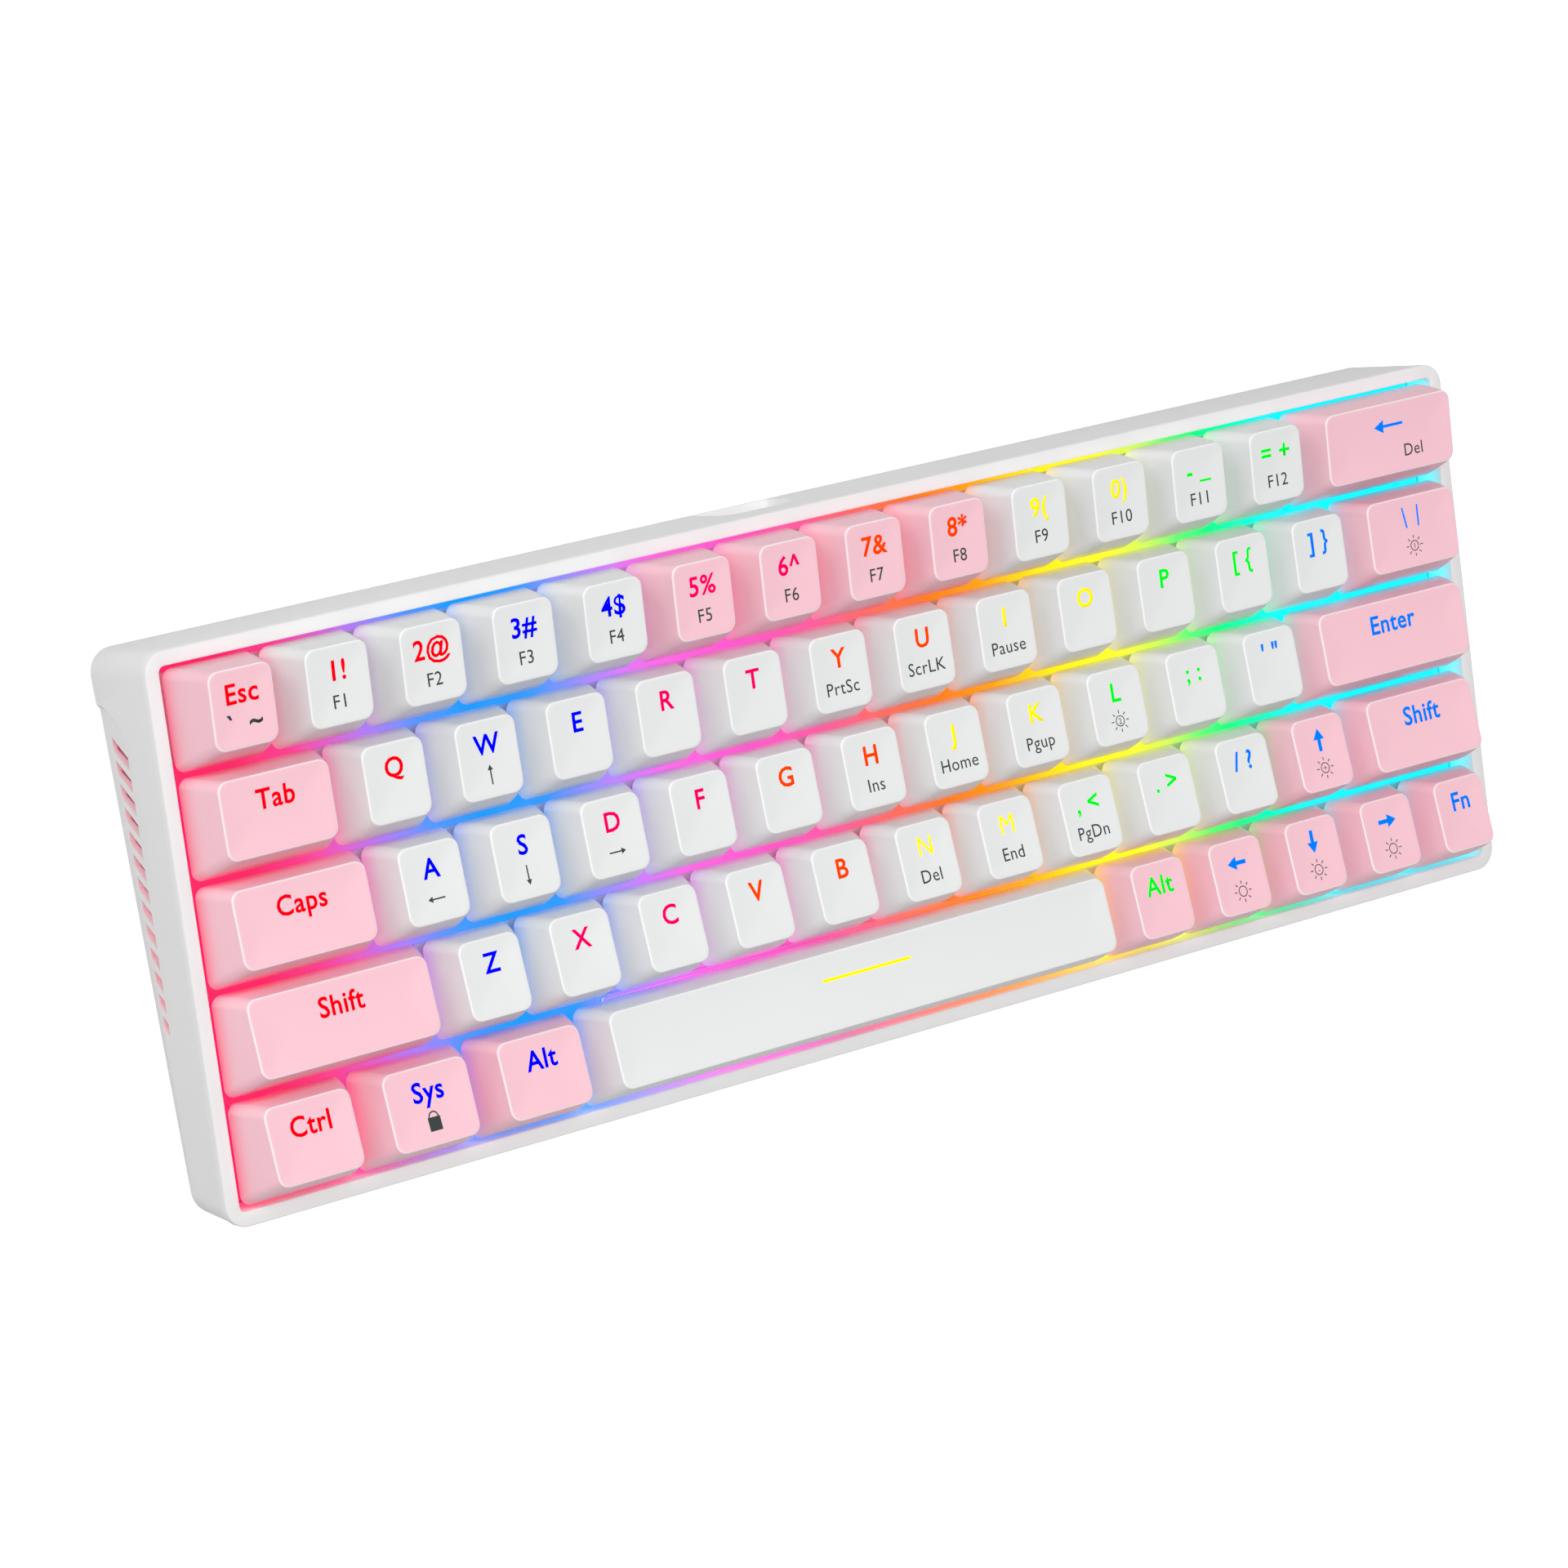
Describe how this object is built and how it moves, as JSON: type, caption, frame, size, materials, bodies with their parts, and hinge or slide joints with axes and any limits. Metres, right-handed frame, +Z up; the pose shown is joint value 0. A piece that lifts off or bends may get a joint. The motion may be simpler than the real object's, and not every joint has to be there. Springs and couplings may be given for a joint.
{
  "type": "mechanical keyboard",
  "caption": "Compact mechanical keyboard with a thin-rimmed white case, tall tapered keycaps in two colours, a lit plate, a rear socket and flip-out feet.",
  "frame": {"origin": "on the desk, under the middle of the case's outline", "axes": "+X to the user's right, +Y away from the user, +Z up"},
  "size_m": [0.2922, 0.1018, 0.0365],
  "materials": {
    "case_white": "satin moulded plastic",
    "cap_white": "fine satin",
    "cap_pink": "fine satin",
    "plate_paint": "painted, lit from below",
    "switch_white": "smooth",
    "wire_steel": "drawn wire",
    "socket_steel": "plated sheet",
    "rubber": "matt"
  },
  "bodies": {
    "root": {"bottom_case": "case_white", "top_frame": "case_white", "switch_plate": "plate_paint", "circuit_board": "switch_white", "usb_socket": "socket_steel", "rubber_strip_front": "rubber", "rubber_strip_rear": "rubber"},
    "key_esc": {"key_esc": "cap_pink"},
    "key_1": {"key_1": "cap_white"},
    "key_2": {"key_2": "cap_white"},
    "key_3": {"key_3": "cap_white"},
    "key_4": {"key_4": "cap_white"},
    "key_5": {"key_5": "cap_pink"},
    "key_6": {"key_6": "cap_pink"},
    "key_7": {"key_7": "cap_pink"},
    "key_8": {"key_8": "cap_pink"},
    "key_9": {"key_9": "cap_white"},
    "key_0": {"key_0": "cap_white"},
    "key_backspace": {"key_backspace": "cap_pink"},
    "key_tab": {"key_tab": "cap_pink"},
    "key_q": {"key_q": "cap_white"},
    "key_w": {"key_w": "cap_white"},
    "key_e": {"key_e": "cap_white"},
    "key_r": {"key_r": "cap_white"},
    "key_t": {"key_t": "cap_white"},
    "key_y": {"key_y": "cap_white"},
    "key_u": {"key_u": "cap_white"},
    "key_i": {"key_i": "cap_white"},
    "key_o": {"key_o": "cap_white"},
    "key_p": {"key_p": "cap_white"},
    "key_a": {"key_a": "cap_white"},
    "key_s": {"key_s": "cap_white"},
    "key_d": {"key_d": "cap_white"},
    "key_f": {"key_f": "cap_white"},
    "key_g": {"key_g": "cap_white"},
    "key_h": {"key_h": "cap_white"},
    "key_j": {"key_j": "cap_white"},
    "key_k": {"key_k": "cap_white"},
    "key_l": {"key_l": "cap_white"},
    "key_enter": {"key_enter": "cap_pink"},
    "key_shift_left": {"key_shift_left": "cap_pink"},
    "key_z": {"key_z": "cap_white"},
    "key_x": {"key_x": "cap_white"},
    "key_c": {"key_c": "cap_white"},
    "key_v": {"key_v": "cap_white"},
    "key_b": {"key_b": "cap_white"},
    "key_n": {"key_n": "cap_white"},
    "key_m": {"key_m": "cap_white"},
    "key_up": {"key_up": "cap_pink"},
    "key_shift_right": {"key_shift_right": "cap_pink"},
    "key_space": {"key_space": "cap_white"},
    "key_left": {"key_left": "cap_pink"},
    "key_down": {"key_down": "cap_pink"},
    "key_right": {"key_right": "cap_pink"},
    "wire_backspace": {"wire_backspace": "wire_steel"},
    "wire_enter": {"wire_enter": "wire_steel"},
    "wire_shift_left": {"wire_shift_left": "wire_steel"},
    "wire_space": {"wire_space": "wire_steel"},
    "foot_left": {"foot_left": "case_white"},
    "foot_right": {"foot_right": "case_white"}
  },
  "joints": [
    {"name": "press_esc", "type": "slide", "parent": "root", "child": "key_esc", "axis": [0, 0.0847, -0.9964], "range_m": [0, 0.0038], "stiffness_N_per_m": 60, "springref_m": -0.006},
    {"name": "press_1", "type": "slide", "parent": "root", "child": "key_1", "axis": [0, 0.0847, -0.9964], "range_m": [0, 0.0038], "stiffness_N_per_m": 60, "springref_m": -0.006},
    {"name": "press_2", "type": "slide", "parent": "root", "child": "key_2", "axis": [0, 0.0847, -0.9964], "range_m": [0, 0.0038], "stiffness_N_per_m": 60, "springref_m": -0.006},
    {"name": "press_3", "type": "slide", "parent": "root", "child": "key_3", "axis": [0, 0.0847, -0.9964], "range_m": [0, 0.0038], "stiffness_N_per_m": 60, "springref_m": -0.006},
    {"name": "press_4", "type": "slide", "parent": "root", "child": "key_4", "axis": [0, 0.0847, -0.9964], "range_m": [0, 0.0038], "stiffness_N_per_m": 60, "springref_m": -0.006},
    {"name": "press_5", "type": "slide", "parent": "root", "child": "key_5", "axis": [0, 0.0847, -0.9964], "range_m": [0, 0.0038], "stiffness_N_per_m": 60, "springref_m": -0.006},
    {"name": "press_6", "type": "slide", "parent": "root", "child": "key_6", "axis": [0, 0.0847, -0.9964], "range_m": [0, 0.0038], "stiffness_N_per_m": 60, "springref_m": -0.006},
    {"name": "press_7", "type": "slide", "parent": "root", "child": "key_7", "axis": [0, 0.0847, -0.9964], "range_m": [0, 0.0038], "stiffness_N_per_m": 60, "springref_m": -0.006},
    {"name": "press_8", "type": "slide", "parent": "root", "child": "key_8", "axis": [0, 0.0847, -0.9964], "range_m": [0, 0.0038], "stiffness_N_per_m": 60, "springref_m": -0.006},
    {"name": "press_9", "type": "slide", "parent": "root", "child": "key_9", "axis": [0, 0.0847, -0.9964], "range_m": [0, 0.0038], "stiffness_N_per_m": 60, "springref_m": -0.006},
    {"name": "press_0", "type": "slide", "parent": "root", "child": "key_0", "axis": [0, 0.0847, -0.9964], "range_m": [0, 0.0038], "stiffness_N_per_m": 60, "springref_m": -0.006},
    {"name": "press_backspace", "type": "slide", "parent": "root", "child": "key_backspace", "axis": [0, 0.0847, -0.9964], "range_m": [0, 0.0038], "stiffness_N_per_m": 60, "springref_m": -0.006},
    {"name": "press_tab", "type": "slide", "parent": "root", "child": "key_tab", "axis": [0, 0.0847, -0.9964], "range_m": [0, 0.0038], "stiffness_N_per_m": 60, "springref_m": -0.006},
    {"name": "press_q", "type": "slide", "parent": "root", "child": "key_q", "axis": [0, 0.0847, -0.9964], "range_m": [0, 0.0038], "stiffness_N_per_m": 60, "springref_m": -0.006},
    {"name": "press_w", "type": "slide", "parent": "root", "child": "key_w", "axis": [0, 0.0847, -0.9964], "range_m": [0, 0.0038], "stiffness_N_per_m": 60, "springref_m": -0.006},
    {"name": "press_e", "type": "slide", "parent": "root", "child": "key_e", "axis": [0, 0.0847, -0.9964], "range_m": [0, 0.0038], "stiffness_N_per_m": 60, "springref_m": -0.006},
    {"name": "press_r", "type": "slide", "parent": "root", "child": "key_r", "axis": [0, 0.0847, -0.9964], "range_m": [0, 0.0038], "stiffness_N_per_m": 60, "springref_m": -0.006},
    {"name": "press_t", "type": "slide", "parent": "root", "child": "key_t", "axis": [0, 0.0847, -0.9964], "range_m": [0, 0.0038], "stiffness_N_per_m": 60, "springref_m": -0.006},
    {"name": "press_y", "type": "slide", "parent": "root", "child": "key_y", "axis": [0, 0.0847, -0.9964], "range_m": [0, 0.0038], "stiffness_N_per_m": 60, "springref_m": -0.006},
    {"name": "press_u", "type": "slide", "parent": "root", "child": "key_u", "axis": [0, 0.0847, -0.9964], "range_m": [0, 0.0038], "stiffness_N_per_m": 60, "springref_m": -0.006},
    {"name": "press_i", "type": "slide", "parent": "root", "child": "key_i", "axis": [0, 0.0847, -0.9964], "range_m": [0, 0.0038], "stiffness_N_per_m": 60, "springref_m": -0.006},
    {"name": "press_o", "type": "slide", "parent": "root", "child": "key_o", "axis": [0, 0.0847, -0.9964], "range_m": [0, 0.0038], "stiffness_N_per_m": 60, "springref_m": -0.006},
    {"name": "press_p", "type": "slide", "parent": "root", "child": "key_p", "axis": [0, 0.0847, -0.9964], "range_m": [0, 0.0038], "stiffness_N_per_m": 60, "springref_m": -0.006},
    {"name": "press_a", "type": "slide", "parent": "root", "child": "key_a", "axis": [0, 0.0847, -0.9964], "range_m": [0, 0.0038], "stiffness_N_per_m": 60, "springref_m": -0.006},
    {"name": "press_s", "type": "slide", "parent": "root", "child": "key_s", "axis": [0, 0.0847, -0.9964], "range_m": [0, 0.0038], "stiffness_N_per_m": 60, "springref_m": -0.006},
    {"name": "press_d", "type": "slide", "parent": "root", "child": "key_d", "axis": [0, 0.0847, -0.9964], "range_m": [0, 0.0038], "stiffness_N_per_m": 60, "springref_m": -0.006},
    {"name": "press_f", "type": "slide", "parent": "root", "child": "key_f", "axis": [0, 0.0847, -0.9964], "range_m": [0, 0.0038], "stiffness_N_per_m": 60, "springref_m": -0.006},
    {"name": "press_g", "type": "slide", "parent": "root", "child": "key_g", "axis": [0, 0.0847, -0.9964], "range_m": [0, 0.0038], "stiffness_N_per_m": 60, "springref_m": -0.006},
    {"name": "press_h", "type": "slide", "parent": "root", "child": "key_h", "axis": [0, 0.0847, -0.9964], "range_m": [0, 0.0038], "stiffness_N_per_m": 60, "springref_m": -0.006},
    {"name": "press_j", "type": "slide", "parent": "root", "child": "key_j", "axis": [0, 0.0847, -0.9964], "range_m": [0, 0.0038], "stiffness_N_per_m": 60, "springref_m": -0.006},
    {"name": "press_k", "type": "slide", "parent": "root", "child": "key_k", "axis": [0, 0.0847, -0.9964], "range_m": [0, 0.0038], "stiffness_N_per_m": 60, "springref_m": -0.006},
    {"name": "press_l", "type": "slide", "parent": "root", "child": "key_l", "axis": [0, 0.0847, -0.9964], "range_m": [0, 0.0038], "stiffness_N_per_m": 60, "springref_m": -0.006},
    {"name": "press_enter", "type": "slide", "parent": "root", "child": "key_enter", "axis": [0, 0.0847, -0.9964], "range_m": [0, 0.0038], "stiffness_N_per_m": 60, "springref_m": -0.006},
    {"name": "press_shift_left", "type": "slide", "parent": "root", "child": "key_shift_left", "axis": [0, 0.0847, -0.9964], "range_m": [0, 0.0038], "stiffness_N_per_m": 60, "springref_m": -0.006},
    {"name": "press_z", "type": "slide", "parent": "root", "child": "key_z", "axis": [0, 0.0847, -0.9964], "range_m": [0, 0.0038], "stiffness_N_per_m": 60, "springref_m": -0.006},
    {"name": "press_x", "type": "slide", "parent": "root", "child": "key_x", "axis": [0, 0.0847, -0.9964], "range_m": [0, 0.0038], "stiffness_N_per_m": 60, "springref_m": -0.006},
    {"name": "press_c", "type": "slide", "parent": "root", "child": "key_c", "axis": [0, 0.0847, -0.9964], "range_m": [0, 0.0038], "stiffness_N_per_m": 60, "springref_m": -0.006},
    {"name": "press_v", "type": "slide", "parent": "root", "child": "key_v", "axis": [0, 0.0847, -0.9964], "range_m": [0, 0.0038], "stiffness_N_per_m": 60, "springref_m": -0.006},
    {"name": "press_b", "type": "slide", "parent": "root", "child": "key_b", "axis": [0, 0.0847, -0.9964], "range_m": [0, 0.0038], "stiffness_N_per_m": 60, "springref_m": -0.006},
    {"name": "press_n", "type": "slide", "parent": "root", "child": "key_n", "axis": [0, 0.0847, -0.9964], "range_m": [0, 0.0038], "stiffness_N_per_m": 60, "springref_m": -0.006},
    {"name": "press_m", "type": "slide", "parent": "root", "child": "key_m", "axis": [0, 0.0847, -0.9964], "range_m": [0, 0.0038], "stiffness_N_per_m": 60, "springref_m": -0.006},
    {"name": "press_up", "type": "slide", "parent": "root", "child": "key_up", "axis": [0, 0.0847, -0.9964], "range_m": [0, 0.0038], "stiffness_N_per_m": 60, "springref_m": -0.006},
    {"name": "press_shift_right", "type": "slide", "parent": "root", "child": "key_shift_right", "axis": [0, 0.0847, -0.9964], "range_m": [0, 0.0038], "stiffness_N_per_m": 60, "springref_m": -0.006},
    {"name": "press_space", "type": "slide", "parent": "root", "child": "key_space", "axis": [0, 0.0847, -0.9964], "range_m": [0, 0.0038], "stiffness_N_per_m": 60, "springref_m": -0.006},
    {"name": "press_left", "type": "slide", "parent": "root", "child": "key_left", "axis": [0, 0.0847, -0.9964], "range_m": [0, 0.0038], "stiffness_N_per_m": 60, "springref_m": -0.006},
    {"name": "press_down", "type": "slide", "parent": "root", "child": "key_down", "axis": [0, 0.0847, -0.9964], "range_m": [0, 0.0038], "stiffness_N_per_m": 60, "springref_m": -0.006},
    {"name": "press_right", "type": "slide", "parent": "root", "child": "key_right", "axis": [0, 0.0847, -0.9964], "range_m": [0, 0.0038], "stiffness_N_per_m": 60, "springref_m": -0.006},
    {"name": "swing_wire_backspace", "type": "hinge", "parent": "root", "child": "wire_backspace", "pos_m": [0.12383, 0.02921, 0.01963], "axis": [-1, 0, 0], "range_deg": [0, 25.5]},
    {"name": "swing_wire_enter", "type": "hinge", "parent": "root", "child": "wire_enter", "pos_m": [0.12144, -0.00876, 0.0164], "axis": [-1, 0, 0], "range_deg": [0, 25.5]},
    {"name": "swing_wire_shift_left", "type": "hinge", "parent": "root", "child": "wire_shift_left", "pos_m": [-0.12144, -0.02774, 0.01479], "axis": [-1, 0, 0], "range_deg": [0, 25.5]},
    {"name": "swing_wire_space", "type": "hinge", "parent": "root", "child": "wire_space", "pos_m": [-0.01191, -0.02938, 0.01465], "axis": [1, 0, 0], "range_deg": [0, 25.5]},
    {"name": "flip_foot_left", "type": "hinge", "parent": "root", "child": "foot_left", "pos_m": [-0.114, 0.03833, 0.00305], "axis": [1, 0, 0], "range_deg": [0, 85]},
    {"name": "flip_foot_right", "type": "hinge", "parent": "root", "child": "foot_right", "pos_m": [0.114, 0.03833, 0.00305], "axis": [1, 0, 0], "range_deg": [0, 85]}
  ],
  "couplings": [
    {"joint": "swing_wire_backspace", "follows": "press_backspace", "rad_per_m": 115.88},
    {"joint": "swing_wire_enter", "follows": "press_enter", "rad_per_m": 115.88},
    {"joint": "swing_wire_shift_left", "follows": "press_shift_left", "rad_per_m": 115.88},
    {"joint": "swing_wire_space", "follows": "press_space", "rad_per_m": 115.88}
  ]
}
